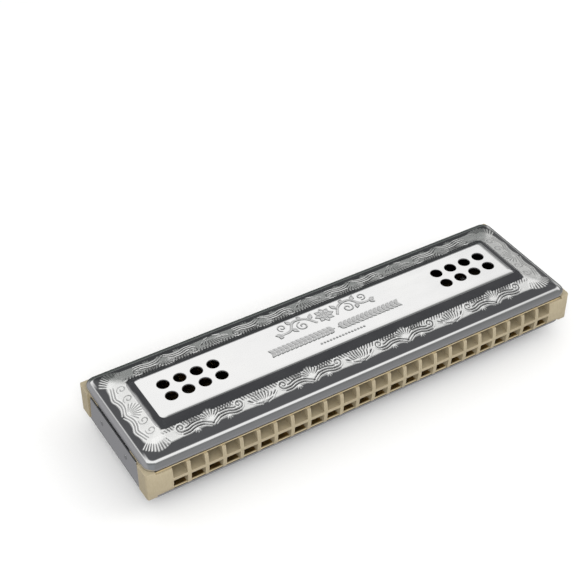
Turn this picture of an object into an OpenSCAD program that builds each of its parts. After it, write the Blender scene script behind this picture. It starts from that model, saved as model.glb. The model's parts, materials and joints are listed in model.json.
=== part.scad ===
// Double-sided tremolo harmonica: a moulded comb, four brass reed plates, their reeds and two steel covers.
// X runs along the length, Y from the front mouthpiece to the back one and Z is up.
// The origin is the centre of the comb. Lengths are in millimetres.

/* [Comb] */
// Columns of holes along each mouthpiece
columns = 24; // [12:6:24]
// Distance from one column to the next
pitch = 6.5; // [6.2:0.1:7]
// Width of the rib between two columns
rib = 1.3; // [1:0.1:1.6]
// Solid length beyond the last column at each end
end_block = 8.6; // [8.4:0.1:10]
// Distance between the two mouth faces
comb_depth = 51.8; // [51:0.1:56]
// Height of the mouth faces
comb_height = 11.2; // [10.8:0.1:12]
// Thickness of the wall between the upper and the lower row of holes
mid_wall = 1.1; // [0.8:0.1:1.4]
// How far a mouth face falls back at its top and bottom edges
mouth_crown = 0.75; // [0.3:0.05:1]
// Radius of the comb's upright corners
comb_corner_r = 2; // [1:0.5:3]
// Half the thickness of the solid wall between the front and the back chambers
spine_half = 3.6; // [3.4:0.1:3.8]

/* [Reed plates] */
// Thickness of a reed plate, which lies flush with the comb's end blocks
plate_t = 0.9; // [0.8:0.05:1]
// Distance from the mouth face back to a reed plate's outer edge
plate_setback = 1.25; // [0.75:0.05:2]
// Side clearance between a reed and its slot
slot_clearance = 0.05; // [0.03:0.01:0.1]

/* [Reeds] */
// Free length of the lowest reed
bass_reed = 14.5; // [12:0.1:14.5]
// Free length of the highest reed
treble_reed = 8; // [7:0.1:10]
// Width of a reed's tongue
tongue_w = 2.4; // [2:0.1:2.6]
// Thickness of a reed's tongue
tongue_t = 0.25; // [0.15:0.01:0.25]
// Thickness of a reed's clamped root
root_t = 0.45; // [0.45:0.05:0.6]

/* [Covers] */
// Height over both covers
overall_height = 25; // [24:0.5:28]
// Thickness of the cover sheet
sheet = 0.45; // [0.3:0.05:0.45]
// Distance from the mouth face back to a cover's long edge
cover_setback = 1.25; // [1.2:0.05:1.5]
// How far the rolled edge round a cover reaches in over the comb
nose_run = 2.95; // [2.5:0.05:3.2]
// Height of that rolled edge
nose_rise = 1.95; // [1.7:0.05:2.1]
// Radius of a cover's corners in plan
cover_corner_r = 4; // [3:0.5:5]
// Depth of the flat panel on top of a cover, front to back
panel_depth = 18.1; // [17:0.1:19]
// Distance from a cover's plain end to its flat panel
panel_inset = 15.65; // [15:0.05:17]
// How far the foot of the wall round that panel lies below it
shoulder_drop = 2.3; // [1.8:0.1:2.6]
// Radius of a sound hole
sound_hole_r = 2.2; // [1.5:0.1:2.4]
// Distance between neighbouring sound holes
sound_pitch = 6.3; // [6:0.1:6.6]

/* [Hidden] */

$fn = 48;
// Play between two parts that lie side by side
play = 0.05;
// Length by which a cutter runs past the face it cuts
over = 1;

// Comb: the reed plates' decks run out through both mouth faces, between the two end blocks
half_y = comb_depth / 2;
lip_z = comb_height / 2;
deck_z = lip_z - plate_t;
holes_half_x = columns * pitch / 2;
half_x = holes_half_x + end_block;
chamber_w = pitch - rib;
crown_r = (lip_z * lip_z + mouth_crown * mouth_crown) / (2 * mouth_crown);

// Reed plates: Y distances are measured from the middle of the comb
plate_inner_y = 0.5;
plate_outer_y = half_y - plate_setback;
plate_half_x = half_x - 3.6;
deck_play = 0.15;

// Reeds: blow reeds are rooted beside the spine, draw reeds behind the cover's edge
root_setback = 3.9;
root_w = 3.4;
root_l = 3;
root_gap = 0.05;
tip_gap = 0.1;
stand_off = 0.15;
spine_gap = 0.2;
blow_flex_y = spine_half + spine_gap + root_l;
draw_flex_y = half_y - root_setback - root_l;
reeds_per_group = columns / 6;
bands = ["low", "mid", "high"];

// Fasteners
rivet_r = 0.6;
rivet_head_r = 1;
rivet_head_t = 0.25;
rivet_play = 0.03;
nail_r = 0.5;
nail_head_r = 1;
nail_head_t = 0.3;
nail_l = 4.4;
end_nail_x = holes_half_x + 2.6;
end_nail_y = [-18.5, -5];
spine_nail_y = -2.05;
spine_nail_places = [-0.75, -0.25, 0.25, 0.75];
cover_nail_r = 0.6;
cover_nail_head_r = 0.9;
cover_nail_head_t = 0.12;
cover_nail_l = 6;
cover_nail_y = 9;
nail_play = 0.03;

// Covers: one end folds down over the comb as a flap, the other has a tab behind the other cover's flap
cover_half_y = half_y - cover_setback;
plain_end_x = half_x - 0.95;
flap_end_x = plain_end_x + 0.6;
top_z = overall_height / 2;
nose_z = lip_z + 0.3;
nose_arc = 78;
nose_steps = 6;
panel_half_y = panel_depth / 2;
panel_half_x = plain_end_x - panel_inset;
brim_run_y = 1.85;
brim_run_x = 3.1;
brim_drop = 0.45;
wall_run = 2;
flap_root_half_y = 18.9;
flap_tip_half_y = 17.3;
flap_end_z = 5.2;
tab_half_y = 12;
tab_end_z = 2.5;
first_sound_hole_x = plain_end_x - 20.2;

function column_x(k) = (k - (columns - 1) / 2) * pitch;

function reed_length(k) = bass_reed - (bass_reed - treble_reed) * k / (columns - 1);

// Where the plate nails go: four in the end blocks and four along the spine
function plate_nail_points() = concat(
    [for (x = [-end_nail_x, end_nail_x], y = end_nail_y) [x, y]],
    [for (place = spine_nail_places) [place * holes_half_x, spine_nail_y]]
);

// Turns a part drawn for the front upper plate into the one for the given side and level
module place(side, level) {
    mirror([0, side == "back" ? 1 : 0, 0])
        mirror([0, 0, level == "lower" ? 1 : 0])
            children();
}

module rounded_plan(x0, x1, half, r) {
    difference() {
        translate([x0, -half])
            square([x1 - x0, 2 * half]);
        for (x = [x0, x1], y = [-half, half])
            difference() {
                translate([x, y])
                    square(2 * r, center = true);
                translate([x + (x == x0 ? r : -r), y + (y < 0 ? r : -r)])
                    circle(r);
            }
    }
}

module plate_nail_holes(depth) {
    for (p = plate_nail_points())
        translate([p[0], p[1], lip_z - depth])
            cylinder(r = nail_r + nail_play, h = depth + over);
}

// One side's chambers on one level, open at the mouth and on the deck
module chambers() {
    for (k = [0:columns - 1])
        translate([column_x(k) - chamber_w / 2, -half_y - over, mid_wall / 2])
            cube([chamber_w, half_y + over - spine_half, lip_z]);
}

// Room for a reed plate between the end blocks
module deck() {
    translate([-plate_half_x - deck_play, -half_y - over, deck_z])
        cube([2 * (plate_half_x + deck_play), half_y + 2 * over, plate_t + over]);
}

// The comb's outer block with its crowned mouth faces
module comb_block() {
    crown_y = half_y - crown_r;
    intersection() {
        translate([0, 0, -lip_z])
            linear_extrude(height = comb_height)
                rounded_plan(-half_x, half_x, half_y, comb_corner_r);
        union() {
            translate([-half_x, -half_y / 2, -lip_z])
                cube([2 * half_x, half_y, comb_height]);
            for (s = [-1, 1])
                intersection() {
                    translate([0, s * crown_y, 0])
                        rotate([0, 90, 0])
                            cylinder(r = crown_r, h = 2 * half_x, center = true, $fn = 128);
                    translate([-half_x, s > 0 ? 0 : -half_y, -lip_z])
                        cube([2 * half_x, half_y, comb_height]);
                }
        }
    }
}

// Recess for the other cover's flap, pocket for this cover's tab and holes for two nails, at the left end
module end_recess() {
    flap_w = 2 * (flap_root_half_y + deck_play);
    flap_depth = half_x - plain_end_x - 2 * play;
    tab_w = 2 * (tab_half_y + deck_play);
    tab_depth = half_x - plain_end_x + sheet + play;
    nail_depth = cover_nail_l + over;
    translate([-half_x - over, -flap_w / 2, -lip_z - over])
        cube([over + flap_depth, flap_w, comb_height + 2 * over]);
    translate([-half_x - over, -tab_w / 2, -tab_end_z - deck_play])
        cube([over + tab_depth, tab_w, lip_z + tab_end_z + over]);
    for (y = [-cover_nail_y, cover_nail_y])
        translate([-half_x - over, y, 0])
            rotate([0, 90, 0])
                cylinder(r = cover_nail_r + nail_play, h = over + nail_depth);
}

module comb() {
    color([0.83, 0.76, 0.62])
        difference() {
            comb_block();
            for (side = ["front", "back"], level = ["upper", "lower"])
                place(side, level) {
                    deck();
                    chambers();
                    plate_nail_holes(plate_t + nail_l);
                }
            end_recess();
            rotate([0, 180, 0])
                end_recess();
        }
}

// Blow reeds are on the even columns and draw reeds on the odd ones
function is_blow(k) = k % 2 == 0;

function flex_y(k) = is_blow(k) ? -blow_flex_y : -draw_flex_y;

// Which way along Y a reed points from its root
function tip_way(k) = is_blow(k) ? -1 : 1;

function root_z(k) = is_blow(k) ? deck_z - root_t : lip_z;

function tongue_z(k) = is_blow(k) ? deck_z - stand_off - tongue_t : lip_z + stand_off;

// Places its children on column k with Y pointing from the reed's root to its tip
module at_reed(k) {
    translate([column_x(k), flex_y(k), 0])
        mirror([0, tip_way(k) < 0 ? 1 : 0, 0])
            children();
}

module reed_slot(k) {
    slot_w = tongue_w + 2 * slot_clearance;
    at_reed(k)
        translate([-slot_w / 2, 0, deck_z - over])
            cube([slot_w, root_gap + reed_length(k) + tip_gap, plate_t + 2 * over]);
}

module rivet_hole(k) {
    at_reed(k)
        translate([0, -root_l / 2, deck_z - over])
            cylinder(r = rivet_r + rivet_play, h = plate_t + 2 * over);
}

module reed_plate(side, level) {
    color([0.80, 0.65, 0.33])
        place(side, level)
            difference() {
                translate([-plate_half_x, -plate_outer_y, deck_z])
                    cube([2 * plate_half_x, plate_outer_y - plate_inner_y, plate_t]);
                for (k = [0:columns - 1]) {
                    reed_slot(k);
                    rivet_hole(k);
                }
                plate_nail_holes(plate_t + over);
            }
}

module reed_roots(side, level) {
    color([0.86, 0.72, 0.40])
        place(side, level)
            for (k = [0:columns - 1])
                difference() {
                    at_reed(k)
                        translate([-root_w / 2, -root_l, root_z(k)])
                            cube([root_w, root_l, root_t]);
                    rivet_hole(k);
                }
}

module reed_rivets(side, level) {
    shank_l = root_t + plate_t;
    color([0.72, 0.56, 0.28])
        place(side, level)
            for (k = [0:columns - 1])
                at_reed(k)
                    translate([0, -root_l / 2, is_blow(k) ? root_z(k) : deck_z]) {
                        cylinder(r = rivet_r, h = shank_l);
                        translate([0, 0, -rivet_head_t])
                            cylinder(r = rivet_head_r, h = rivet_head_t);
                        translate([0, 0, shank_l])
                            cylinder(r = rivet_head_r, h = rivet_head_t);
                    }
}

module plate_nails(side, level) {
    color([0.70, 0.70, 0.68])
        place(side, level)
            for (p = plate_nail_points())
                translate([p[0], p[1], 0]) {
                    translate([0, 0, lip_z])
                        cylinder(r = nail_head_r, h = nail_head_t);
                    translate([0, 0, lip_z - nail_l])
                        cylinder(r = nail_r, h = nail_l);
                }
}

// The moving tongues of one group: the blow or the draw reeds of one third of a plate
module reed_tongues(side, level, breath, band) {
    first = search([band], bands)[0] * 2 * reeds_per_group + (breath == "blow" ? 0 : 1);
    color(breath == "blow" ? [0.90, 0.76, 0.44] : [0.88, 0.72, 0.36])
        place(side, level)
            for (i = [0:reeds_per_group - 1]) {
                k = first + 2 * i;
                at_reed(k)
                    translate([-tongue_w / 2, root_gap, tongue_z(k)])
                        cube([tongue_w, reed_length(k), tongue_t]);
            }
}

// Half of a cover's cross-section: up the edge, round the nose, up the margin and the wall, over the brim
function half_roof(edge, panel, brim_run, inset) =
    let (
        run = nose_run - inset,
        rise = nose_rise - inset,
        top = top_z - inset,
        brim = panel + brim_run - inset / 3,
        angles = [for (i = [0:nose_steps]) nose_arc * i / nose_steps]
    )
    concat(
        [[edge, lip_z]],
        [for (a = angles) [edge - run + run * cos(a), nose_z + rise * sin(a)]],
        [[brim + wall_run, top - shoulder_drop], [brim, top - brim_drop], [panel, top]]
    );

// The whole cross-section, from the right or the front edge over to the other one
function roof(right, left, panel, brim_run, inset) =
    let (
        near = half_roof(right, panel, brim_run, inset),
        far = half_roof(left, panel, brim_run, inset)
    )
    concat(near, [for (i = [len(far) - 1:-1:0]) [-far[i][0], far[i][1]]]);

// The solid under a cover's surface, which is set in by the given thickness
module under_roof(inset) {
    edge_y = cover_half_y - inset;
    right = flap_end_x - inset;
    left = plain_end_x - inset;
    intersection() {
        rotate([90, 0, 90])
            linear_extrude(height = 3 * half_x, center = true)
                polygon(roof(edge_y, edge_y, panel_half_y, brim_run_y, inset));
        rotate([90, 0, 0])
            linear_extrude(height = 3 * half_y, center = true)
                polygon(roof(right, left, panel_half_x, brim_run_x, inset));
        linear_extrude(height = top_z)
            rounded_plan(-left, right, edge_y, cover_corner_r - inset);
    }
}

module sound_holes() {
    for (end = [-1, 1], i = [0:3], y = [-0.5, 0.5])
        translate([end * (first_sound_hole_x - i * sound_pitch), y * sound_pitch, top_z / 2])
            cylinder(r = sound_hole_r, h = top_z);
}

module cover_nail_holes() {
    for (y = [-cover_nail_y, cover_nail_y])
        translate([0, y, 0])
            rotate([0, 90, 0])
                cylinder(r = cover_nail_r + nail_play, h = 3 * half_x, center = true);
}

// The flap at a cover's right end, which narrows towards its tip
module flap() {
    root_z = lip_z + play;
    translate([flap_end_x - sheet, 0, 0])
        rotate([90, 0, 90])
            linear_extrude(height = sheet)
                polygon([
                    [-flap_root_half_y, root_z],
                    [-flap_tip_half_y, -flap_end_z],
                    [flap_tip_half_y, -flap_end_z],
                    [flap_root_half_y, root_z]
                ]);
}

// The tab at a cover's left end
module tab() {
    translate([-plain_end_x, -tab_half_y, -tab_end_z])
        cube([sheet, 2 * tab_half_y, lip_z + tab_end_z + play]);
}

module cover() {
    difference() {
        union() {
            difference() {
                under_roof(0);
                under_roof(sheet);
                sound_holes();
            }
            flap();
            tab();
        }
        cover_nail_holes();
    }
}

module upper_cover() {
    color([0.80, 0.81, 0.83])
        cover();
}

module lower_cover() {
    color([0.72, 0.73, 0.76])
        rotate([0, 180, 0])
            cover();
}

// Two nails through one cover's flap and the other cover's tab into the right end of the comb
module cover_nails() {
    for (y = [-cover_nail_y, cover_nail_y])
        translate([flap_end_x, y, 0])
            rotate([0, 90, 0]) {
                cylinder(r = cover_nail_head_r, h = cover_nail_head_t);
                translate([0, 0, -cover_nail_l])
                    cylinder(r = cover_nail_r, h = cover_nail_l);
            }
}

module right_cover_nails() {
    color([0.60, 0.61, 0.63])
        cover_nails();
}

module left_cover_nails() {
    color([0.60, 0.61, 0.63])
        rotate([0, 180, 0])
            cover_nails();
}

comb();
reed_plate("front", "upper");  // front_upper_reed_plate
reed_plate("front", "lower");  // front_lower_reed_plate
reed_plate("back", "upper");  // back_upper_reed_plate
reed_plate("back", "lower");  // back_lower_reed_plate
reed_roots("front", "upper");  // front_upper_reed_roots
reed_roots("front", "lower");  // front_lower_reed_roots
reed_roots("back", "upper");  // back_upper_reed_roots
reed_roots("back", "lower");  // back_lower_reed_roots
reed_rivets("front", "upper");  // front_upper_reed_rivets
reed_rivets("front", "lower");  // front_lower_reed_rivets
reed_rivets("back", "upper");  // back_upper_reed_rivets
reed_rivets("back", "lower");  // back_lower_reed_rivets
plate_nails("front", "upper");  // front_upper_plate_nails
plate_nails("front", "lower");  // front_lower_plate_nails
plate_nails("back", "upper");  // back_upper_plate_nails
plate_nails("back", "lower");  // back_lower_plate_nails
reed_tongues("front", "upper", "blow", "low");  // front_upper_blow_reeds_low
reed_tongues("front", "upper", "blow", "mid");  // front_upper_blow_reeds_mid
reed_tongues("front", "upper", "blow", "high");  // front_upper_blow_reeds_high
reed_tongues("front", "upper", "draw", "low");  // front_upper_draw_reeds_low
reed_tongues("front", "upper", "draw", "mid");  // front_upper_draw_reeds_mid
reed_tongues("front", "upper", "draw", "high");  // front_upper_draw_reeds_high
reed_tongues("front", "lower", "blow", "low");  // front_lower_blow_reeds_low
reed_tongues("front", "lower", "blow", "mid");  // front_lower_blow_reeds_mid
reed_tongues("front", "lower", "blow", "high");  // front_lower_blow_reeds_high
reed_tongues("front", "lower", "draw", "low");  // front_lower_draw_reeds_low
reed_tongues("front", "lower", "draw", "mid");  // front_lower_draw_reeds_mid
reed_tongues("front", "lower", "draw", "high");  // front_lower_draw_reeds_high
reed_tongues("back", "upper", "blow", "low");  // back_upper_blow_reeds_low
reed_tongues("back", "upper", "blow", "mid");  // back_upper_blow_reeds_mid
reed_tongues("back", "upper", "blow", "high");  // back_upper_blow_reeds_high
reed_tongues("back", "upper", "draw", "low");  // back_upper_draw_reeds_low
reed_tongues("back", "upper", "draw", "mid");  // back_upper_draw_reeds_mid
reed_tongues("back", "upper", "draw", "high");  // back_upper_draw_reeds_high
reed_tongues("back", "lower", "blow", "low");  // back_lower_blow_reeds_low
reed_tongues("back", "lower", "blow", "mid");  // back_lower_blow_reeds_mid
reed_tongues("back", "lower", "blow", "high");  // back_lower_blow_reeds_high
reed_tongues("back", "lower", "draw", "low");  // back_lower_draw_reeds_low
reed_tongues("back", "lower", "draw", "mid");  // back_lower_draw_reeds_mid
reed_tongues("back", "lower", "draw", "high");  // back_lower_draw_reeds_high
upper_cover();
lower_cover();
left_cover_nails();
right_cover_nails();
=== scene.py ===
import json
import math

import bpy
import numpy as np
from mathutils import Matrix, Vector

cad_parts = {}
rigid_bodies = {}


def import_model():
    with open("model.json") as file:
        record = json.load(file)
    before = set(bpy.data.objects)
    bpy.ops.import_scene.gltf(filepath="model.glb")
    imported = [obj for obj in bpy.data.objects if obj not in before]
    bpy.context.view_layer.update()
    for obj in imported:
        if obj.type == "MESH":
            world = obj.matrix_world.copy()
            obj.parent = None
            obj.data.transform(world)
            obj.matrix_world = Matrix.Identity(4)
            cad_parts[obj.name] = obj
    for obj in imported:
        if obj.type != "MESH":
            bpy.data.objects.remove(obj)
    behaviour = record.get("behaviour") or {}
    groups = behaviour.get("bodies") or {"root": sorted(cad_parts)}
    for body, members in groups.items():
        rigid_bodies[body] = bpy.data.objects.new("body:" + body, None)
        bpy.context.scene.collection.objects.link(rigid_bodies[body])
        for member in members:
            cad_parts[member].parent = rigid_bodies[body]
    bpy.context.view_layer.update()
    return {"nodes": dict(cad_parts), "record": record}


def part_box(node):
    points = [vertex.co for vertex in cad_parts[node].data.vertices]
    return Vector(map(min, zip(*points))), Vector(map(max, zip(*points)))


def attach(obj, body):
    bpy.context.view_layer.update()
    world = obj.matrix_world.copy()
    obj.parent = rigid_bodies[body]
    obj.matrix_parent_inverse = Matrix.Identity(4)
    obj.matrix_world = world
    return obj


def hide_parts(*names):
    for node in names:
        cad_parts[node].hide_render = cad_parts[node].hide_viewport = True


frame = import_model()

MM = 0.001
ROOT = frame["record"]["behaviour"]["joints"][0]["parent"]

# ---------------------------------------------------------------- sizes taken from the frame, in millimetres


def box_mm(node):
    """A CAD node's lowest and highest corners in millimetres."""
    low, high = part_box(node)
    return np.array(low) / MM, np.array(high) / MM


_, comb_high = box_mm("comb")
cover_low, cover_high = box_mm("upper_cover")
LIP_Z = comb_high[2]
TOP_Z = cover_high[2]
PLAIN_END = -cover_low[0]
FLAP_END = cover_high[0]
EDGE_Y = cover_high[1]
FLAP_END_Z = -cover_low[2]

# ---------------------------------------------------------------- cover sizes that the boxes don't give

SHEET = 0.45
# Rolled edge: how far it runs in and up, where it starts, how far round it goes in degrees, and its corners
NOSE_RUN = 2.95
NOSE_RISE = 1.95
NOSE_Z = LIP_Z + 0.3
NOSE_ARC = 78
CORNER_R = 4.0
# Flat panel: half its length and depth, and its corners
PANEL_X = PLAIN_END - 15.65
PANEL_Y = 9.05
PANEL_R = 0.8
# Soft brim round the panel: how far it runs out and down, and its corners
BRIM_RUN_X = 3.1
BRIM_RUN_Y = 1.85
BRIM_DROP = 0.45
BRIM_R = 2.0
# Wall under the brim: how far it runs out, how far below the top it ends, and its corners
WALL_RUN = 2.0
SHOULDER_DROP = 2.3
SHOULDER_R = 3.2
# Half the width of the flap on the right end and of the tab on the left end, and how far down the tab goes
FLAP_ROOT_Y = 18.9
FLAP_TIP_Y = 17.3
TAB_Y = 12.0
TAB_END_Z = 2.5
# Sound holes
SOUND_R = 2.2
SOUND_PITCH = 6.3
FIRST_SOUND_X = PLAIN_END - 20.2

# The cover's surface is made of rings. The first is the edge. The rest go up the rolled edge, across the
# slope, round the foot of the panel's wall, up the wall and over the brim. The slope's count takes in the
# rings at both its ends. The last three stretches are lists of places along them, as shares.
NOSE_RINGS, SLOPE_RINGS = 10, 50
INNER_NOSE_RINGS, INNER_SLOPE_RINGS = 5, 7
FOOT_SHARES = (-0.05, -0.02, 0.02, 0.05)
WALL_SHARES = (0.35, 0.55, 0.75, 0.9)
BRIM_SHARES = (0.0, 0.04, 0.1, 0.25, 0.45, 0.7, 1.0)
FOOT_ROUNDING = 0.07
FIRST_SLOPE_RING = 1 + NOSE_RINGS
LAST_FOOT_RING = NOSE_RINGS + SLOPE_RINGS - 2 + len(FOOT_SHARES)

# At the two ends the painted dark reflection covers the top of the rolled edge too. It starts this far in
# from the long edges and reaches its full strength over this run
END_DARK_START, END_DARK_RUN = 2.2, 6.0

# Where the ornament lies on the sloping margin, as distances from the middle of the cover
BAND_IN_Y, BAND_OUT_Y = 13.15, 19.1
BAND_IN_X, BAND_OUT_X = 74.8, 81.8
BAND_MID_Y = (BAND_IN_Y + BAND_OUT_Y) / 2
BAND_MID_X = (BAND_IN_X + BAND_OUT_X) / 2
MOTIF_STEP = 19.35
# The ornament is stretched outwards along the back and on the right end, and is shallower at both ends
BACK_SQUEEZE, END_SQUEEZE = 0.81, 0.88
END_RELIEF = 0.55
RELIEF_H = 0.15
CUT_DEPTH = 0.1
ENGRAVE_D = 0.1
# Half the length and depth of the engraved patch on the panel, and its points along each
PATCH_X, PATCH_Y = 28.0, 8.95
PATCH_COLS, PATCH_ROWS = 281, 91
# How dark the panel's engraving is beside the cuts in the ornament
PANEL_INK = 0.45

# Points along one loop round the cover: on a long side, a short side, a corner and in all
N_LONG, N_SHORT, N_CORNER = 720, 180, 16
N_LOOP = 2 * N_LONG + 2 * N_SHORT + 4 * N_CORNER
# Rows of points down the flap and the tab, as shares of their height. The last is the cut edge, which is
# painted dark: painted shade, which on the flap stands for the gap under the other cover's rim
SKIRT_ROWS = (0.04, 0.2, 0.4, 0.6, 0.8, 0.96, 1.0)


# ---------------------------------------------------------------- line ornament


def arc_points(cx, cy, r0, r1, a0, a1, n=24):
    """Points of an arc or a spiral about (cx, cy), from radius r0 at angle a0 to r1 at a1, in degrees."""
    t = np.linspace(0, 1, n)
    a = np.radians(a0 + (a1 - a0) * t)
    r = r0 + (r1 - r0) * t
    return np.stack([cx + r * np.cos(a), cy + r * np.sin(a)], 1)


def curve_points(knots, n=12):
    """A smooth curve through the knots (Catmull-Rom)."""
    k = np.array(knots, float)
    k = np.vstack([2 * k[0] - k[1], k, 2 * k[-1] - k[-2]])
    t = np.linspace(0, 1, n, endpoint=False)[:, None]
    out = []
    for i in range(1, len(k) - 2):
        p0, p1, p2, p3 = k[i - 1], k[i], k[i + 1], k[i + 2]
        out.append(0.5 * (2 * p1 + (p2 - p0) * t + (2 * p0 - 5 * p1 + 4 * p2 - p3) * t**2
                          + (3 * p1 - p0 - 3 * p2 + p3) * t**3))
    out.append(k[-2][None, :])
    return np.vstack(out)


def shifted(points, d):
    """The curve moved sideways by d, to its left."""
    step = np.gradient(points, axis=0)
    step /= np.linalg.norm(step, axis=1)[:, None] + 1e-9
    return points + d * np.stack([-step[:, 1], step[:, 0]], 1)


class Ornament:
    """Strokes that swell and taper, each with a width at its start, middle and end. A stroke is a broad
    bright fill, a raised line or a dark cut."""

    def __init__(self):
        self.strokes = []

    def add(self, points, start, middle, end, kind="line"):
        self.strokes.append((kind, np.asarray(points, float), (start, middle, end)))

    def field(self, x, y, kind):
        """1 on the middle line of a stroke of this kind, falling to 0 at its edge, for each point (x, y)."""
        out = np.zeros(len(x))
        for stroke_kind, pts, widths in self.strokes:
            if stroke_kind != kind:
                continue
            reach = max(widths)
            low, high = pts.min(0) - reach, pts.max(0) + reach
            near = np.flatnonzero((x > low[0]) & (x < high[0]) & (y > low[1]) & (y < high[1]))
            if not len(near):
                continue
            q = np.stack([x[near], y[near]], 1)
            best = np.zeros(len(near))
            for i in range(len(pts) - 1):
                along = pts[i + 1] - pts[i]
                t = np.clip((q - pts[i]) @ along / (along @ along + 1e-12), 0, 1)
                gap = np.linalg.norm(q - pts[i] - t[:, None] * along, axis=1)
                s = (i + t) / (len(pts) - 1)
                best = np.maximum(best, 1 - gap / np.interp(s, (0, 0.5, 1), widths))
            out[near] = np.maximum(out[near], best)
        return out


def polar(x, y, angle, r):
    """The point at distance r from (x, y) in the direction angle, in degrees."""
    return np.array([x + r * math.cos(math.radians(angle)), y + r * math.sin(math.radians(angle))])


def add_fan(orn, x, y, aim, spread, rays, near, far, width, kind="line"):
    """Rays that spread from (x, y) about the direction aim, in degrees."""
    for a in np.linspace(aim - spread, aim + spread, rays):
        reach = far * (1 - 0.12 * abs(a - aim) / spread)
        orn.add([polar(x, y, a, near), polar(x, y, a, reach)], width * 0.6, width * 0.9, width, kind)


def add_volute(orn, x, y, r, start, turn):
    """A ribbon that curls inwards, with a dark gap between its turns."""
    orn.add(arc_points(x, y, r * 0.78, r * 0.2, start, start + turn, 40), 0.22, 0.34, 0.24, "cut")
    orn.add(arc_points(x, y, r, r * 0.3, start - 15, start + turn, 40), 0.4, 0.46, 0.36)
    orn.add(arc_points(x, y, 0.02, 0.06, 0, 180, 3), 0.42, 0.42, 0.42)


def add_scroll_arm(orn, x, y, way):
    """Three ribbons that leave the chevron at (x, y), dip, rise and end in a volute. way is +1 or -1."""
    path = curve_points([(x + way * 0.6, y + 2.1), (x + way * 3.1, y + 0.9), (x + way * 6.0, y + 0.75),
                         (x + way * 8.4, y + 1.45), (x + way * 10.8, y + 1.5)], 10)
    for lane in (-0.95, 0.0, 0.95):
        orn.add(shifted(path, lane * way), 0.3, 0.46, 0.28)
    for lane in (-0.48, 0.48):
        orn.add(shifted(path, lane * way), 0.36, 0.46, 0.26, "cut")
    orn.add(shifted(path, -1.5 * way), 0.2, 0.34, 0.2, "cut")
    hub = (x + way * 10.7, y - 0.55)
    add_volute(orn, *hub, 2.0, 80 if way > 0 else 100, -450 if way > 0 else 450)
    for step in range(6):
        foot = np.array([x + way * (3.3 + 0.95 * step), y - 0.95])
        notch = curve_points([foot, foot + (way * 0.1, -0.6), foot + (way * 0.7, -1.3)], 5)
        orn.add(notch, 0.16, 0.26, 0.2, "cut")
    twig = (x + way * 5.9, y + 1.7)
    for a in (55, 90, 125):
        orn.add([twig, polar(*twig, a if way > 0 else 180 - a, 1.6)], 0.42, 0.34, 0.14)


def add_shell(orn, x, y):
    """A half shell that opens towards the panel, over a double chevron that points outwards."""
    orn.add([(x, y + 0.9), (x, y - 0.9)], 1.0, 2.0, 2.0, "fill")
    add_fan(orn, x, y + 1.5, -90, 60, 9, 0.5, 4.3, 0.42)
    add_fan(orn, x, y + 1.5, -90, 53, 8, 1.2, 4.2, 0.26, "cut")
    for way in (-1, 1):
        orn.add([(x, y + 2.95), (x + way * 2.9, y + 1.25)], 0.42, 0.4, 0.26)
        orn.add([(x, y + 2.4), (x + way * 3.1, y + 0.55)], 0.36, 0.36, 0.3, "cut")
        orn.add([(x, y + 1.85), (x + way * 2.9, y + 0.0)], 0.3, 0.34, 0.22)


def add_leaf_cluster(orn, x, y):
    """A pointed leaf cluster: ribs between two tips."""
    for i in np.linspace(-1, 1, 9):
        foot = np.array([x + i * 1.1, y + 2.0 - 0.5 * abs(i)])
        tip = np.array([x + i * 4.3, y - 0.3 - 2.0 * (1 - abs(i) ** 1.5)])
        mid = (foot + tip) / 2 + np.array([i * 0.5, 0.35 * abs(i)])
        orn.add(curve_points([foot, mid, tip], 6), 0.22, 0.42, 0.26)
        gap = np.array([0.36, 0.0])
        orn.add(curve_points([foot + gap, mid + 1.3 * gap, tip + 1.2 * gap], 6), 0.18, 0.24, 0.24, "cut")
    for way in (-1, 1):
        for reach, lift in ((5.6, 1.0), (4.4, 1.9)):
            path = curve_points([(x + way * reach, y + lift - 1.0), (x + way * reach * 0.75, y + lift),
                                 (x + way * 1.0, y + lift + 0.8)], 8)
            orn.add(path, 0.3, 0.42, 0.2)
            orn.add(shifted(path, 0.45 * way), 0.2, 0.24, 0.16, "cut")


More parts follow.
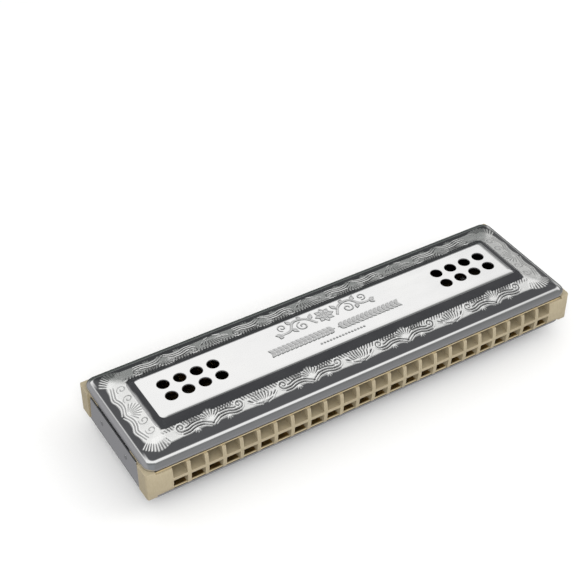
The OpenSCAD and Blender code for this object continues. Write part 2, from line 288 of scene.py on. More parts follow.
def band_ornament():
    """The relief of one quarter of a cover; the other quarters mirror it."""
    orn = Ornament()
    y = BAND_MID_Y
    # A bright field with a wavy outer edge and a ragged inner one
    x = np.arange(0, BAND_IN_X, 1.2)
    orn.add(np.stack([x, y + 0.35 + 0.3 * np.cos(np.pi * x / MOTIF_STEP)], 1), 2.1, 2.1, 2.1, "fill")
    for tooth in np.arange(0.4, BAND_IN_X, 1.1):
        lift = y + 0.2
        orn.add([(tooth, lift - 1.6), (tooth + 0.7, lift - 2.75)], 0.5, 0.4, 0.14, "fill")
        orn.add([(tooth + 0.45, lift - 1.3), (tooth + 1.0, lift - 2.2)], 0.14, 0.2, 0.24, "cut")
    for i in (1, 3):
        for way in (-1, 1):
            add_scroll_arm(orn, i * MOTIF_STEP, y - 0.2, way)
        add_shell(orn, i * MOTIF_STEP, y - 0.3)
    for i in (0, 2):
        add_leaf_cluster(orn, i * MOTIF_STEP, y + 0.2)
    # Corner: a bright field with a fan of rays that points out
    x = BAND_MID_X
    orn.add([(x - 3.6, 14.9), (x - 0.8, 15.0), (x - 0.2, 12.5)], 1.9, 2.4, 3.2, "fill")
    add_fan(orn, x - 1.6, 11.4, 76, 38, 11, 3.6, 8.6, 0.4)
    add_fan(orn, x - 1.6, 11.4, 74, 38, 10, 5.4, 8.4, 0.26, "cut")
    # End border: a bright field with shallow ribbons near its outer edge, a shell in the middle and scrolls
    orn.add([(x - 0.1, -1.0), (x - 0.25, 4.5), (x, 8.0), (x - 0.25, 13.0)], 3.6, 3.6, 3.6, "fill")
    add_fan(orn, x + 1.9, 0, 180, 62, 9, 1.0, 4.8, 0.2, "cut")
    add_fan(orn, x + 1.9, 0, 180, 55, 8, 0.7, 5.0, 0.3)
    path = curve_points([(x + 2.9, 0.2), (x + 1.9, 3.4), (x + 2.0, 6.0), (x + 2.7, 8.4), (x + 2.1, 11.0),
                         (x + 1.4, 13.4)], 10)
    for lane in (-0.45, 0.45):
        orn.add(shifted(path, lane), 0.16, 0.34, 0.16, "cut")
    for lane in (-0.9, 0.0, 0.9):
        orn.add(shifted(path, lane), 0.3, 0.44, 0.3)
    for hub_y in (5.8, 10.9):
        orn.add(arc_points(x - 1.0, hub_y, 1.8, 0.4, -30, 400, 36), 0.12, 0.2, 0.14, "cut")
    return orn


def add_leaf(orn, x, y, angle, length, width):
    """An almond leaf from (x, y): its outline and a midrib."""
    tip = polar(x, y, angle, length)
    for way in (-1, 1):
        middle = polar(*polar(x, y, angle, length * 0.5), angle + 90 * way, width)
        orn.add(curve_points([(x, y), middle, tip], 7), 0.26, 0.34, 0.24, "cut")
    orn.add([polar(x, y, angle, length * 0.25), polar(x, y, angle, length * 0.8)], 0.2, 0.24, 0.14, "cut")


def panel_ornament():
    """The engraving on the panel: a flower between two leafy scrolls, a garland and a row of beads."""
    orn = Ornament()
    x, y = -0.8, 5.1
    for a in range(0, 360, 45):
        add_leaf(orn, *polar(x, y, a, 0.9), a, 2.6, 0.75)
    orn.add(arc_points(x, y, 0.6, 0.6, 0, 360, 14), 0.3, 0.3, 0.3, "cut")
    for way in (-1, 1):
        stem = curve_points([(x + way * 4.2, y - 2.2), (x + way * 7.0, y + 1.6), (x + way * 11.5, y + 2.4),
                             (x + way * 14.6, y - 1.2), (x + way * 18.6, y - 1.6)], 10)
        for lane in (-0.28, 0.28):
            orn.add(shifted(stem, lane), 0.22, 0.32, 0.2, "cut")
        inner_curl = arc_points(x + way * 9.4, y - 1.0, 2.3, 0.5, 90, 90 - way * 450, 40)
        orn.add(inner_curl, 0.24, 0.36, 0.3, "cut")
        outer_curl = arc_points(x + way * 16.4, y + 1.7, 1.8, 0.4, 250, 250 + way * 420, 36)
        orn.add(outer_curl, 0.24, 0.34, 0.28, "cut")
        leaves = ((5.6, 0.4, 120, 3.0), (8.4, 2.3, 65, 1.9), (12.6, 1.6, 60, 2.6), (13.6, -0.4, -120, 2.8),
                  (18.2, -1.6, 20, 2.2), (18.2, -1.6, -50, 1.9))
        for out, lift, angle, reach in leaves:
            add_leaf(orn, x + way * out, y + lift, angle if way > 0 else 180 - angle, reach, 0.6)
        garland_y = -2.9
        for i in range(14):
            for side in (-1, 1):
                angle = (90 - way * 48) * side
                add_leaf(orn, x + way * (1.4 + 1.8 * i), garland_y + side * 0.2, angle, 2.3, 0.5)
        orn.add([(x + way * 0.8, garland_y), (x + way * 26.2, garland_y)], 0.24, 0.3, 0.2, "cut")
    for i in range(-7, 8):
        orn.add(arc_points(1.25 * i + x, -7.3, 0.04, 0.08, 0, 180, 3), 0.5, 0.5, 0.5, "cut")
    return orn


def soft_step(v):
    v = np.clip(v, 0, 1)
    return v * v * (3 - 2 * v)


# ---------------------------------------------------------------- the cover's mesh


def loop_points(x_left, x_right, half_y, r):
    """One loop round the cover in plan, with rounded corners and a fixed number of points."""
    parts = []

    def straight(a, b, n):
        t = np.arange(n)[:, None] / n
        parts.append(np.array(a) * (1 - t) + np.array(b) * t)

    def corner(cx, cy, a0):
        a = np.radians(a0 + 90 * np.arange(N_CORNER) / N_CORNER)
        parts.append(np.stack([cx + r * np.cos(a), cy + r * np.sin(a)], 1))

    straight((-x_left + r, -half_y), (x_right - r, -half_y), N_LONG)
    corner(x_right - r, -half_y + r, -90)
    straight((x_right, -half_y + r), (x_right, half_y - r), N_SHORT)
    corner(x_right - r, half_y - r, 0)
    straight((x_right - r, half_y), (-x_left + r, half_y), N_LONG)
    corner(-x_left + r, half_y - r, 90)
    straight((-x_left, half_y - r), (-x_left, -half_y + r), N_SHORT)
    corner(-x_left + r, -half_y + r, 180)
    return np.vstack(parts)


def cover_rings(inset, slope_rings, nose_rings):
    """The cover's surface as rings from its edge up to its panel, each as (left, right, half_y, corner, z,
    dark share). The dark share is 1 where a dark reflection is painted on the steel, and at the edge, where
    shade is painted."""
    top, run, rise = TOP_Z - inset, NOSE_RUN - inset, NOSE_RISE - inset
    left, right, edge = PLAIN_END - inset, FLAP_END - inset, EDGE_Y - inset
    # The edge ring is painted dark: painted shade along the line where the rolled edge meets the reed plate
    rows = [(left, right, edge, CORNER_R - inset, LIP_Z, 1.0)]
    for a in np.radians(np.linspace(0, NOSE_ARC, nose_rings)):
        e = run - run * math.cos(a)
        rows.append((left - e, right - e, edge - e, CORNER_R - inset - e, NOSE_Z + rise * math.sin(a), 0.0))
    nose = rows[-1]
    brim_x, brim_y = PANEL_X + BRIM_RUN_X - inset / 3, PANEL_Y + BRIM_RUN_Y - inset / 3
    foot_x, foot_y = brim_x + WALL_RUN, brim_y + WALL_RUN
    # The wall, its foot, the slope and the outer brim carry the painted dark reflection, which fades in over
    # the first slope rings
    shoulder = (foot_x, foot_x, foot_y, SHOULDER_R, top - SHOULDER_DROP, 1.0)
    brim = (brim_x, brim_x, brim_y, BRIM_R, top - BRIM_DROP, 1.0)
    for t in np.linspace(0, 1, slope_rings)[1:-1]:
        row = [a + (b - a) * t for a, b in zip(nose, shoulder)]
        row[5] = float(soft_step(t * slope_rings / 1.5))
        rows.append(tuple(row))
    # The foot of the wall is a small rounding, not a crease
    for t in FOOT_SHARES:
        other = nose if t < 0 else brim
        share = abs(t) if t < 0 else abs(t) * 4
        row = [a + (b - a) * share for a, b in zip(shoulder, other)]
        row[4] += (FOOT_ROUNDING - abs(t)) * 0.8
        row[5] = 1.0
        rows.append(tuple(row))
    for t in WALL_SHARES:
        rows.append(tuple([a + (b - a) * t for a, b in zip(shoulder, brim)][:5]) + (1.0,))
    # Over the brim, a soft rounding runs in to the flat panel
    for t in BRIM_SHARES:
        rows.append((brim_x - (brim_x - PANEL_X) * t, brim_x - (brim_x - PANEL_X) * t,
                     brim_y - (brim_y - PANEL_Y) * t, BRIM_R + (PANEL_R - BRIM_R) * t,
                     top - BRIM_DROP * (1 - t)**2, 1.0 if t == 0 else 0.0))
    return rows


def ring_points(row):
    """The points of one of the rings that cover_rings gives."""
    return np.column_stack([loop_points(*row[:4]), np.full(N_LOOP, row[4])])


def outer_surface():
    """The cover's outside as a grid of points, a ring to a row, with the painted dark reflection and shade
    and the relief at each.
    """
    rows = cover_rings(0.0, SLOPE_RINGS, NOSE_RINGS)
    grid = np.array([ring_points(row) for row in rows])
    ground = np.array([np.full(N_LOOP, row[5]) for row in rows])
    x, y = grid[:, :, 0], grid[:, :, 1]
    # At both ends the painted dark reflection runs on over the top of the rolled edge
    ends = slice(FIRST_SLOPE_RING - 2, FIRST_SLOPE_RING + 3)
    on_end = np.abs(x[ends]) > PLAIN_END - NOSE_RUN - 0.5
    dark = soft_step((EDGE_Y - END_DARK_START - np.abs(y[ends])) / END_DARK_RUN)
    ground[ends] = np.where(on_end, np.maximum(ground[ends], dark), ground[ends])
    # At the right end and along the back the painted dark reflection also runs further in over the brim
    brim = slice(1 - len(BRIM_SHARES), -1)
    at_right = x[brim] > PANEL_X + BRIM_RUN_X * 0.4
    at_back = y[brim] > PANEL_Y + BRIM_RUN_Y * 0.2
    ground[brim] = np.where(at_right | at_back, 1.0, ground[brim])

    # Relief on the slope, pushed out along the surface normal
    px, py = np.abs(x), np.abs(y)
    py = np.where((y > 0) & (py > BAND_IN_Y), BAND_IN_Y + (py - BAND_IN_Y) * BACK_SQUEEZE, py)
    px = np.where((x > 0) & (px > BAND_IN_X), BAND_IN_X + (px - BAND_IN_X) * END_SQUEEZE, px)
    slope = slice(FIRST_SLOPE_RING, LAST_FOOT_RING + 1)
    orn = band_ornament()

    def marks(kind, gain):
        out = np.zeros(ground.shape)
        field = orn.field(px[slope].ravel(), py[slope].ravel(), kind)
        out[slope] = soft_step(field * gain).reshape(-1, N_LOOP)
        return out

    line, band, ink = marks("line", 1.6), marks("fill", 6), marks("cut", 2)
    shallow = np.where(px > BAND_IN_X, END_RELIEF, 1.0)
    ink *= (1 - soft_step(line * 1.5 - 0.6)) * shallow
    height = np.maximum(line * RELIEF_H * shallow, band * RELIEF_H * 0.5) - ink * CUT_DEPTH
    normal = np.cross(np.roll(grid, -1, 1) - np.roll(grid, 1, 1), np.gradient(grid, axis=0))
    normal /= np.linalg.norm(normal, axis=2)[:, :, None] + 1e-12
    return grid + normal * height[:, :, None], ground, {"line": line, "band": band, "ink": ink}


class Shell:
    """A mesh of closed rings of N_LOOP points, in millimetres, with a share at each point that is 1 where
    dark reflection and shade are painted on the steel.
    """

    def __init__(self):
        self.rings, self.ground, self.faces = [], [], []

    def add_ring(self, points, ground=0.0):
        """Adds a ring and gives its number."""
        self.rings.append(points)
        self.ground.append(np.zeros(N_LOOP) + ground)
        return len(self.rings) - 1

    def join(self, ids, flip=False, where=None):
        """Makes faces from each ring to the next, all the way round or only at some of the points."""
        for a, b in zip(ids, ids[1:]):
            for i in range(N_LOOP) if where is None else np.flatnonzero(where):
                j = (i + 1) % N_LOOP
                quad = (a * N_LOOP + i, a * N_LOOP + j, b * N_LOOP + j, b * N_LOOP + i)
                self.faces.append(quad[::-1] if flip else quad)


def add_skirt(shell, outer, inner, end_x, root_y, tip_y, depth):
    """Takes the cover's edge down at one end, as the flap or the tab, and gives where it hangs."""
    edge = shell.rings[outer]
    inside = (np.abs(edge[:, 0] - end_x) < 1e-6) & (np.abs(edge[:, 1]) <= root_y)
    span = inside & np.roll(inside, -1)
    rows_out, rows_in = [outer], [inner]
    for t in SKIRT_ROWS:
        for rows in (rows_out, rows_in):
            ring = shell.rings[rows[0]].copy()
            ring[:, 1] *= 1 + (tip_y / root_y - 1) * t
            ring[:, 2] = LIP_Z - (LIP_Z + depth) * t
            # The last row, the cut edge, carries painted shade
            rows.append(shell.add_ring(ring, float(t == SKIRT_ROWS[-1])))
    shell.join(rows_out, flip=True, where=span)
    shell.join(rows_in, where=span)
    shell.join((rows_out[-1], rows_in[-1]), flip=True, where=span)
    # Both sides of the sheet are closed too
    first, *_, last = np.flatnonzero(inside)
    for a in range(len(SKIRT_ROWS)):
        sheet = [ring * N_LOOP for ring in (rows_out[a], rows_in[a], rows_in[a + 1], rows_out[a + 1])]
        shell.faces.append(tuple(corner + first for corner in sheet))
        shell.faces.append(tuple(sheet[k] + last for k in (0, 3, 2, 1)))
    return span


def add_panel(faces, top, start):
    """Closes the panel, inside the ring whose first point is top: a finely divided patch for the engraving,
    whose first point is start, and two flat faces round it. Gives the patch's points and its ink."""
    columns, rows = np.linspace(-PATCH_X, PATCH_X, PATCH_COLS), np.linspace(-PATCH_Y, PATCH_Y, PATCH_ROWS)
    x, y = np.meshgrid(columns, rows)
    ink = soft_step(panel_ornament().field(x.ravel(), y.ravel(), "cut") * 1.8)
    ids = start + np.arange(x.size).reshape(x.shape)
    for r in range(PATCH_ROWS - 1):
        for c in range(PATCH_COLS - 1):
            faces.append((ids[r, c], ids[r, c + 1], ids[r + 1, c + 1], ids[r + 1, c]))
    # The two flat faces meet on the middle line, at both ends of the patch
    middle = PATCH_ROWS // 2
    right_mid = N_LONG + N_CORNER + N_SHORT // 2
    left_mid = 2 * N_LONG + 3 * N_CORNER + N_SHORT + N_SHORT // 2
    front_loop = [top + i % N_LOOP for i in range(left_mid, N_LOOP + right_mid + 1)]
    faces.append((*front_loop, *ids[middle::-1, -1], *ids[0, -2:0:-1], *ids[:middle + 1, 0]))
    back_loop = range(top + right_mid, top + left_mid + 1)
    faces.append((*back_loop, *ids[middle:, 0], *ids[-1, 1:-1], *ids[:middle - 1:-1, -1]))
    return np.column_stack([x.ravel(), y.ravel(), TOP_Z - ENGRAVE_D * ink]), ink


def build_cover():
    """Vertices (mm), faces and point attributes of the upper cover, before its sound holes are cut. The last
    three faces are the flat ones."""
    grid, ground, relief = outer_surface()
    shell = Shell()
    outer = [shell.add_ring(*ring) for ring in zip(grid, ground)]
    inner_rows = cover_rings(SHEET, INNER_SLOPE_RINGS, INNER_NOSE_RINGS)
    inner = [shell.add_ring(ring_points(row)) for row in inner_rows]
    shell.join(outer)
    shell.join(inner, flip=True)
    flap = (FLAP_END, FLAP_ROOT_Y, FLAP_TIP_Y, FLAP_END_Z)
    tab = (-PLAIN_END, TAB_Y, TAB_Y, TAB_END_Z)
    open_edge = np.ones(N_LOOP, bool)
    for skirt in (flap, tab):
        open_edge &= ~add_skirt(shell, outer[0], inner[0], *skirt)
    shell.join((outer[0], inner[0]), flip=True, where=open_edge)
    points = np.vstack(shell.rings)
    patch, patch_ink = add_panel(shell.faces, outer[-1] * N_LOOP, len(points))
    shell.faces.append(tuple(inner[-1] * N_LOOP + i for i in range(N_LOOP - 1, -1, -1)))

    points = np.vstack([points, patch])
    fields = {"ground": np.concatenate([*shell.ground, np.zeros(len(patch))])}
    for name, values in relief.items():
        fields[name] = np.concatenate([values.ravel(), np.zeros(len(points) - values.size)])
    fields["ink"][-len(patch):] = patch_ink * PANEL_INK
    return points, shell.faces, fields


def make_mesh(name, points_mm, faces):
    mesh = bpy.data.meshes.new(name)
    mesh.from_pydata((np.asarray(points_mm) * MM).tolist(), [], faces)
    mesh.update()
    return mesh


def sound_hole_cutters():
    """Sixteen round cutters that flare at the top, so each sound hole gets a small chamfer."""
    segs = 40
    flared = SOUND_R + 0.2
    profile = ((SOUND_R, TOP_Z - 2), (SOUND_R, TOP_Z - 0.12), (flared, TOP_Z + 0.08), (flared, TOP_Z + 1))
    a = np.linspace(0, 2 * math.pi, segs, endpoint=False)
    verts, faces = [], []
    for end in (-1, 1):
        for i in range(4):
            for side in (-0.5, 0.5):
                cx, cy = end * (FIRST_SOUND_X - i * SOUND_PITCH), side * SOUND_PITCH
                base = len(verts)
                for r, z in profile:
                    verts += [(cx + r * math.cos(t), cy + r * math.sin(t), z) for t in a]
                for k in range(len(profile) - 1):
                    for s in range(segs):
                        s2 = (s + 1) % segs
                        faces.append((base + k * segs + s, base + k * segs + s2,
                                      base + (k + 1) * segs + s2, base + (k + 1) * segs + s))
                faces.append(tuple(base + s for s in range(segs - 1, -1, -1)))
                faces.append(tuple(base + (len(profile) - 1) * segs + s for s in range(segs)))
    return make_mesh("sound_hole_cutters", verts, faces)


def link(obj):
    bpy.context.scene.collection.objects.link(obj)
    return obj


def cover_mesh():
    """The finished cover, with its sound holes."""
    points, faces, fields = build_cover()
    mesh = make_mesh("cover", points, faces)
    mesh.polygons.foreach_set("use_smooth", [True] * (len(faces) - 3) + [False] * 3)
    for name, values in fields.items():
        mesh.attributes.new(name, "FLOAT", "POINT").data.foreach_set("value", values.astype(np.float32))
    solid = link(bpy.data.objects.new("cover_blank", mesh))
    cutter = link(bpy.data.objects.new("cover_cutters", sound_hole_cutters()))
    cut = solid.modifiers.new("holes", "BOOLEAN")
    cut.operation = "DIFFERENCE"
    cut.solver = "EXACT"
    cut.object = cutter
    bpy.context.view_layer.update()
    done = bpy.data.meshes.new_from_object(solid.evaluated_get(bpy.context.evaluated_depsgraph_get()))
    for o in (solid, cutter):
        bpy.data.objects.remove(o)
    done.materials.clear()
    done.materials.append(cover_steel())
    return done


def place_covers():
    """Both covers: the lower one is the upper one turned half a turn about Y."""
    mesh = cover_mesh()
    for name, turn in (("upper_cover_shell", 0.0), ("lower_cover_shell", math.pi)):
        obj = link(bpy.data.objects.new(name, mesh))
        obj.rotation_euler = (0, turn, 0)
        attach(obj, ROOT)
        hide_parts(name.replace("_shell", ""))


# ---------------------------------------------------------------- materials


def add_node(tree, kind, inputs=None, **settings):
    """Adds a shader node. Inputs are values or sockets, by name or number. Settings are its properties."""
    node = tree.nodes.new("ShaderNode" + kind)
    for key, value in settings.items():
        setattr(node, key, value)
    for key, value in (inputs or {}).items():
        if isinstance(value, bpy.types.NodeSocket):
            tree.links.new(value, node.inputs[key])
        else:
            node.inputs[key].default_value = value
    return node


def rgb(r, g, b):
    return (r, g, b, 1.0)


def maths(tree, operation, a, b=0.0, clamp=False):
    return add_node(tree, "Math", {0: a, 1: b}, operation=operation, use_clamp=clamp).outputs[0]


def vector_maths(tree, operation, a, b=(0, 0, 0), out="Vector"):
    return add_node(tree, "VectorMath", {0: a, 1: b}, operation=operation).outputs[out]


def fade(tree, value, low, high, to_low=0.0, to_high=1.0):
    """Takes value from low..high to to_low..to_high, smoothly and without overshoot."""
    spread = {"Value": value, "From Min": low, "From Max": high, "To Min": to_low, "To Max": to_high}
    return add_node(tree, "MapRange", spread, interpolation_type="SMOOTHSTEP").outputs[0]


def blend(tree, share, a, b):
    """A mix of two colours."""
    return add_node(tree, "Mix", {0: share, 6: a, 7: b}, data_type="RGBA").outputs[2]


def noise(tree, coords, scale, detail=4.0, rough=0.55, stretch=None):
    """Noise between 0 and 1. Scale is in bumps per millimetre; stretch scales the axes."""
    factors = [scale / MM * s for s in (stretch or (1, 1, 1))]
    spot = vector_maths(tree, "MULTIPLY", coords, factors)
    made = add_node(tree, "TexNoise", {"Vector": spot, "Scale": 1.0, "Detail": detail, "Roughness": rough})
    return made.outputs[0]


def attribute(tree, name):
    return add_node(tree, "Attribute", attribute_name=name).outputs["Fac"]


def edge_mask(tree, radius_mm):
    """1 along sharp edges and 0 elsewhere."""
    rounded = add_node(tree, "Bevel", {"Radius": radius_mm * MM}, samples=4).outputs[0]
    flat = add_node(tree, "NewGeometry").outputs["Normal"]
    same = vector_maths(tree, "DOT_PRODUCT", rounded, flat, out="Value")
    return fade(tree, same, 0.995, 0.86)


def new_material(name):
    mat = bpy.data.materials.new(name)
    mat.use_nodes = True
    tree = mat.node_tree
    shader = tree.nodes["Principled BSDF"]
    coords = add_node(tree, "TexCoord").outputs["Object"]
    return mat, tree, shader, coords


def plug(tree, shader, **inputs):
    names = {"colour": "Base Color", "rough": "Roughness", "metal": "Metallic", "normal": "Normal",
             "specular": "Specular IOR Level"}
    for key, value in inputs.items():
        socket = shader.inputs[names[key]]
        if isinstance(value, bpy.types.NodeSocket):
            tree.links.new(value, socket)
        else:
            socket.default_value = value


def bumps(tree, height, depth_mm, strength=1.0, before=None):
    inputs = {"Height": height, "Distance": depth_mm * MM, "Strength": strength}
    if before is not None:
        inputs["Normal"] = before
    return add_node(tree, "Bump", inputs).outputs[0]


_made = {}


def once(build):
    """Each material is built the first time that it is asked for."""
    def get():
        if build.__name__ not in _made:
            _made[build.__name__] = build()
        return _made[build.__name__]
    return get


@once
def cover_steel():
    """Polished plated steel with frosted ornament and an inked engraving, a painted dark reflection on its
    plain bands and wall, and painted shade along its edges.
    """
    mat, tree, shader, coords = new_material("cover_steel")
    ground, band = attribute(tree, "ground"), attribute(tree, "band")
    line, ink = attribute(tree, "line"), attribute(tree, "ink")
    cloud = noise(tree, coords, 0.06, 3)
    smear = noise(tree, coords, 0.25, 5, 0.6, (0.35, 1, 1))
    hair = noise(tree, coords, 2.0, 3, 0.7, (0.05, 1, 1))
    grit = noise(tree, coords, 5.0, 2, 0.8)
    # Colour
    plate = blend(tree, cloud, rgb(0.84, 0.84, 0.85), rgb(0.93, 0.925, 0.92))
    # The colour of the painted dark reflection and painted shade
    dark = blend(tree, smear, rgb(0.040, 0.041, 0.045), rgb(0.064, 0.065, 0.069))
    frost = blend(tree, grit, rgb(0.80, 0.80, 0.79), rgb(0.93, 0.93, 0.92))
    bright = rgb(0.93, 0.93, 0.92)
    colour = blend(tree, ground, plate, dark)
    colour = blend(tree, band, colour, frost)
    colour = blend(tree, line, colour, bright)
    colour = blend(tree, maths(tree, "MULTIPLY", ink, 0.94), colour, rgb(0.05, 0.05, 0.052))
    # Polish. Where dark reflection and shade are painted, the steel is only partly metallic, so that the
    # painted dark colour shows
    bare = maths(tree, "MAXIMUM", line, band)
    painted_dark_share = maths(tree, "MULTIPLY", ground, maths(tree, "SUBTRACT", 1.0, bare))
    metal = maths(tree, "SUBTRACT", 1.0, maths(tree, "MULTIPLY", painted_dark_share, 0.7))
    metal = maths(tree, "SUBTRACT", metal, maths(tree, "MULTIPLY", band, 0.18))
    rough = fade(tree, smear, 0.3, 0.75, 0.07, 0.15)
    rough = maths(tree, "ADD", rough, maths(tree, "MULTIPLY", ground, 0.10))
    rough = maths(tree, "ADD", rough, maths(tree, "MULTIPLY", band, 0.08))
    rough = maths(tree, "SUBTRACT", rough, maths(tree, "MULTIPLY", line, 0.05), clamp=True)
    rough = maths(tree, "ADD", rough, maths(tree, "MULTIPLY", ink, 0.3), clamp=True)
    surface = bumps(tree, hair, 0.004, 0.5)
    frosting = maths(tree, "MULTIPLY", grit, band)
    surface = bumps(tree, frosting, 0.02, 0.25, surface)
    plug(tree, shader, colour=colour, rough=rough, metal=metal, normal=surface)
    return mat


@once
def comb_plastic():
    """Warm tan moulded plastic with a fine grain, slight clouding and edges that are worn lighter."""
    mat, tree, shader, coords = new_material("comb_plastic")
    cloud = noise(tree, coords, 0.05, 4)
    grain = noise(tree, coords, 1.6, 5, 0.65, (1, 1, 0.4))
    speck = noise(tree, coords, 6.0, 2, 0.6)
    colour = blend(tree, fade(tree, cloud, 0.3, 0.7), rgb(0.375, 0.318, 0.210), rgb(0.430, 0.366, 0.244))
    grained = maths(tree, "MULTIPLY", fade(tree, grain, 0.35, 0.7), 0.35)
    colour = blend(tree, grained, colour, rgb(0.32, 0.26, 0.165))
    worn = maths(tree, "MULTIPLY", edge_mask(tree, 0.35), 0.55)
    colour = blend(tree, worn, colour, rgb(0.60, 0.51, 0.36))
    rough = fade(tree, grain, 0.25, 0.8, 0.36, 0.56)
    surface = bumps(tree, grain, 0.03, 0.35)
    surface = bumps(tree, speck, 0.012, 0.3, surface)
    plug(tree, shader, colour=colour, rough=rough, metal=0.0, normal=surface)
    return mat


def brass(name, low, high, worn, stretch, paint_light_and_shade=False):
    """Brass with brushed streaks, a little tarnish and brighter edges. For the reed plates light and shade
    are painted on:
    bright brass at the mouth faces, where light falls, painted shade further in and a painted shadow along
    the seam with the cover."""
    mat, tree, shader, coords = new_material(name)
    streak = noise(tree, coords, 1.2, 5, 0.65, stretch)
    tarnish = noise(tree, coords, 0.12, 5, 0.6)
    colour = blend(tree, streak, rgb(*low), rgb(*high))
    colour = blend(tree, fade(tree, tarnish, 0.55, 0.8, 0.0, 0.6), colour, rgb(0.30, 0.19, 0.08))
    colour = blend(tree, maths(tree, "MULTIPLY", edge_mask(tree, 0.15), 0.7), colour, rgb(*worn))
    rough = fade(tree, streak, 0.2, 0.8, 0.22, 0.42)
    metal = 1.0
    if paint_light_and_shade:
        # Painted light and shade: bright brass at the mouth faces, where light falls, and painted shade,
        # darker further in under the covers
        place = add_node(tree, "SeparateXYZ", {0: coords})
        out = maths(tree, "ABSOLUTE", place.outputs["Y"])
        lit_face = fade(tree, out, (EDGE_Y - 0.5) * MM, (EDGE_Y - 0.1) * MM)
        inside = maths(tree, "ADD", out, maths(tree, "MULTIPLY", tarnish, 6 * MM))
        colour = blend(tree, fade(tree, inside, 12 * MM, 24 * MM), rgb(0.11, 0.082, 0.045), colour)
        colour = blend(tree, lit_face, colour, rgb(*worn))
        rough = maths(tree, "ADD", rough, maths(tree, "MULTIPLY", lit_face, 0.15))
        # Painted shadow along the seam under the cover
        level = maths(tree, "ABSOLUTE", place.outputs["Z"])
        seam_shadow = maths(tree, "MULTIPLY", lit_face, fade(tree, level, (LIP_Z - 0.42) * MM, (LIP_Z - 0.22) * MM))
        colour = blend(tree, seam_shadow, colour, rgb(0.04, 0.03, 0.018))
        metal = maths(tree, "SUBTRACT", 1.0, maths(tree, "MULTIPLY", lit_face, 0.35))
    plug(tree, shader, colour=colour, rough=rough, metal=metal, normal=bumps(tree, streak, 0.006, 0.5))
    return mat


# The reed plates' brass is darker than the reeds': painted shade inside the covers, with bright brass only
# at the mouth faces
@once
def plate_brass():
    return brass("plate_brass", (0.36, 0.24, 0.10), (0.50, 0.36, 0.17), (0.92, 0.78, 0.50), (0.06, 1, 1),
                 paint_light_and_shade=True)


@once
def reed_brass():
    return brass("reed_brass", (0.74, 0.53, 0.24), (0.90, 0.70, 0.36), (0.98, 0.84, 0.52), (1, 0.06, 1))


@once
def rivet_brass():
    return brass("rivet_brass", (0.70, 0.50, 0.22), (0.86, 0.66, 0.33), (0.97, 0.82, 0.50), (1, 1, 1))


@once
def nail_steel():
    """Bright drawn wire with fine scratches and dull spots."""
    mat, tree, shader, coords = new_material("nail_steel")
    scratch = noise(tree, coords, 3.0, 5, 0.7, (1, 0.2, 1))
    spots = noise(tree, coords, 0.8, 3)
    colour = blend(tree, spots, rgb(0.48, 0.48, 0.49), rgb(0.70, 0.70, 0.70))
    colour = blend(tree, maths(tree, "MULTIPLY", edge_mask(tree, 0.12), 0.7), colour, rgb(0.88, 0.88, 0.87))
    rough = fade(tree, scratch, 0.3, 0.8, 0.20, 0.42)
    plug(tree, shader, colour=colour, rough=rough, metal=1.0, normal=bumps(tree, scratch, 0.008, 0.5))
    return mat


def finish_node(node, material, edge_mm):
    """A CAD node keeps its shape; it gets a material and, where edge_mm isn't 0, small rounded edges."""
    obj = frame["nodes"][node]
    obj.data.materials.clear()
    obj.data.materials.append(material)
    if edge_mm:
        weld = obj.modifiers.new("weld", "WELD")
        weld.merge_threshold = 0.001 * MM
        soften = obj.modifiers.new("soften", "BEVEL")
        soften.width = edge_mm * MM
        soften.segments = 2
        soften.limit_method = "ANGLE"
        soften.angle_limit = math.radians(40)
        soften.harden_normals = True


def finish_cad_nodes():
    """The first rule whose key is in a node's name gives its material and the size of its rounded edges."""
    rules = (("comb", comb_plastic, 0.22), ("reed_plate", plate_brass, 0.05),
             ("reed_roots", reed_brass, 0.04), ("reeds", reed_brass, 0.0),
             ("rivets", rivet_brass, 0.0), ("nails", nail_steel, 0.0))
    for node in frame["nodes"]:
        if node.endswith("_cover"):
            continue
        material, edge_mm = next((m, e) for key, m, e in rules if key in node)
        finish_node(node, material(), edge_mm)


# ---------------------------------------------------------------- studio


def floor_paper():
    mat, tree, shader, coords = new_material("floor_paper")
    fibre = noise(tree, coords, 0.8, 4)
    colour = blend(tree, fibre, rgb(0.93, 0.93, 0.925), rgb(0.96, 0.96, 0.955))
    surface = bumps(tree, fibre, 0.02, 0.1)
    plug(tree, shader, colour=colour, rough=0.9, metal=0.0, specular=0.1, normal=surface)
    return mat


def add_floor():
    """A sheet 6 m square, just under the lower cover."""
    half, z = 3000, -(TOP_Z + 0.02)
    mesh = make_mesh("floor", [(-half, -half, z), (half, -half, z), (half, half, z), (-half, half, z)],
                     [(0, 1, 2, 3)])
    mesh.materials.append(floor_paper())
    floor = link(bpy.data.objects.new("floor", mesh))
    floor.visible_glossy = False


def add_softbox(name, place, size, power):
    """A rectangular lamp that points at the object. Place and size are in metres and power is in watts."""
    lamp = bpy.data.lights.new(name, "AREA")
    lamp.shape = "RECTANGLE"
    lamp.size, lamp.size_y = size
    lamp.energy = power
    obj = link(bpy.data.objects.new(name, lamp))
    obj.location = place
    obj.rotation_euler = (-Vector(place)).to_track_quat("-Z", "Y").to_euler()
    obj.visible_glossy = False


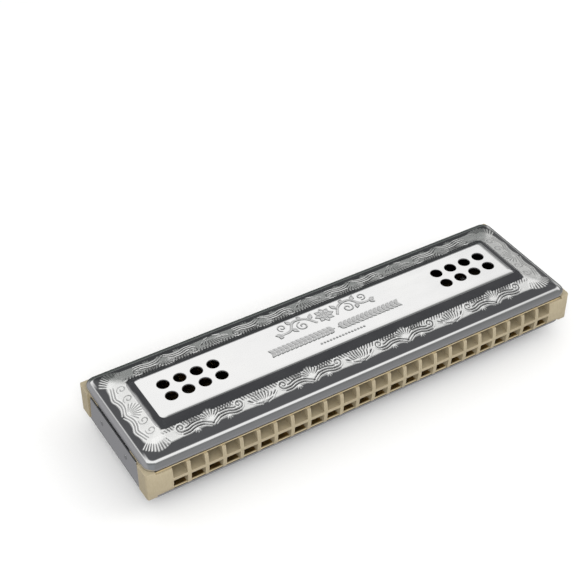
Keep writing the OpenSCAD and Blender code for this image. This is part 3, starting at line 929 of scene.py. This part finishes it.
def add_surroundings():
    """White all round, except that polished metal sees a studio, which turns and tilts with the camera: a
    wide soft window high behind the object, dim walls below it, a pale screen low on the right and a dim
    room on the camera's side."""
    world = bpy.data.worlds.new("studio")
    bpy.context.scene.world = world
    world.use_nodes = True
    tree = world.node_tree
    tree.nodes.clear()
    way = vector_maths(tree, "NORMALIZE", add_node(tree, "TexCoord").outputs["Generated"])
    ahead = add_node(tree, "VectorTransform", {0: (0, 0, 1)}, vector_type="VECTOR", convert_from="CAMERA",
                     convert_to="WORLD").outputs[0]
    level = vector_maths(tree, "NORMALIZE", vector_maths(tree, "MULTIPLY", ahead, (1, 1, 0)))
    beyond = vector_maths(tree, "DOT_PRODUCT", way, level, out="Value")
    up = add_node(tree, "SeparateXYZ", {0: way}).outputs["Z"]
    drift = add_node(tree, "TexNoise", {"Vector": way, "Scale": 2.2, "Detail": 1.0}).outputs[0]
    across = vector_maths(tree, "CROSS_PRODUCT", level, (0, 0, 1))
    side = vector_maths(tree, "DOT_PRODUCT", way, across, out="Value")
    # The window is placed from where the camera's own line of sight would go after a flat mirror
    lift = maths(tree, "ADD", up, vector_maths(tree, "DOT_PRODUCT", ahead, (0, 0, 1), out="Value"))
    reach = maths(tree, "SUBTRACT", beyond, vector_maths(tree, "DOT_PRODUCT", ahead, level, out="Value"))
    near_top = fade(tree, lift, -0.02, 0.16)
    right_dim = maths(tree, "MULTIPLY", near_top, fade(tree, side, 0.25, 0.45, 0.0, 0.35))
    reach = maths(tree, "SUBTRACT", reach, fade(tree, side, 0.16, 0.44, 0.0, 0.22))
    window = maths(tree, "MULTIPLY", fade(tree, reach, -0.75, -0.49), fade(tree, lift, -0.14, -0.04))
    window = maths(tree, "MULTIPLY", window, fade(tree, side, -0.68, -0.47))
    window = maths(tree, "MULTIPLY", window, fade(tree, side, -0.05, 0.2, 1.02, 0.92))
    window = maths(tree, "MULTIPLY", window, maths(tree, "SUBTRACT", 1.0, right_dim))
    window = maths(tree, "MULTIPLY", window, fade(tree, drift, 0.3, 0.7, 0.92, 1.08))
    walls = blend(tree, fade(tree, beyond, -0.4, 0.3), rgb(0.25, 0.26, 0.27), rgb(0.085, 0.098, 0.092))
    walls = blend(tree, fade(tree, side, -0.45, -0.75), walls, rgb(0.33, 0.33, 0.34))
    walls = blend(tree, fade(tree, side, 0.10, 0.35, 0.0, 0.7), walls, rgb(0.21, 0.21, 0.21))
    screen = maths(tree, "MULTIPLY", fade(tree, side, 0.27, 0.34), fade(tree, up, 0.06, 0.15))
    screen = maths(tree, "MULTIPLY", screen, fade(tree, up, 0.40, 0.30))
    screen = maths(tree, "MULTIPLY", screen, fade(tree, beyond, 0.6, 0.8))
    walls = blend(tree, screen, walls, rgb(0.62, 0.62, 0.61))
    below = blend(tree, fade(tree, beyond, 0.6, 0.85), rgb(0.26, 0.26, 0.27), rgb(0.05, 0.055, 0.053))
    walls = blend(tree, fade(tree, up, 0.05, -0.10), walls, below)
    seen = blend(tree, window, walls, rgb(0.99, 0.99, 0.98))
    studio = add_node(tree, "Background", {"Color": seen, "Strength": 1.0}).outputs[0]
    plain = add_node(tree, "Background", {"Color": rgb(1, 1, 1), "Strength": 0.88}).outputs[0]
    backdrop = add_node(tree, "Background", {"Color": rgb(1, 1, 1), "Strength": 1.0}).outputs[0]
    path = add_node(tree, "LightPath")
    lit = add_node(tree, "MixShader", {0: path.outputs["Is Glossy Ray"], 1: plain, 2: studio}).outputs[0]
    lit = add_node(tree, "MixShader", {0: path.outputs["Is Camera Ray"], 1: lit, 2: backdrop}).outputs[0]
    out = tree.nodes.new("ShaderNodeOutputWorld")
    tree.links.new(lit, out.inputs["Surface"])


def add_camera():
    """The camera looks at the object from the front left, 40 degrees down."""
    azimuth, elevation, lens = math.radians(-31.46), math.radians(39.87), 81.57
    eye = Vector((-195.23, -292.01, 318.58)) * MM
    back = Vector((math.sin(azimuth) * math.cos(elevation), -math.cos(azimuth) * math.cos(elevation),
                   math.sin(elevation)))
    data = bpy.data.cameras.new("camera")
    data.lens = lens
    data.clip_start = 0.01
    obj = link(bpy.data.objects.new("camera", data))
    obj.location = eye
    obj.rotation_euler = (-back).to_track_quat("-Z", "Y").to_euler()
    bpy.context.scene.camera = obj


place_covers()
finish_cad_nodes()
add_floor()
add_softbox("key", (-0.5, -0.9, 0.9), (0.8, 0.6), 6)
add_softbox("fill", (0.9, -0.4, 0.7), (0.8, 0.8), 3)
add_surroundings()
add_camera()
bpy.context.scene.view_settings.view_transform = "Standard"
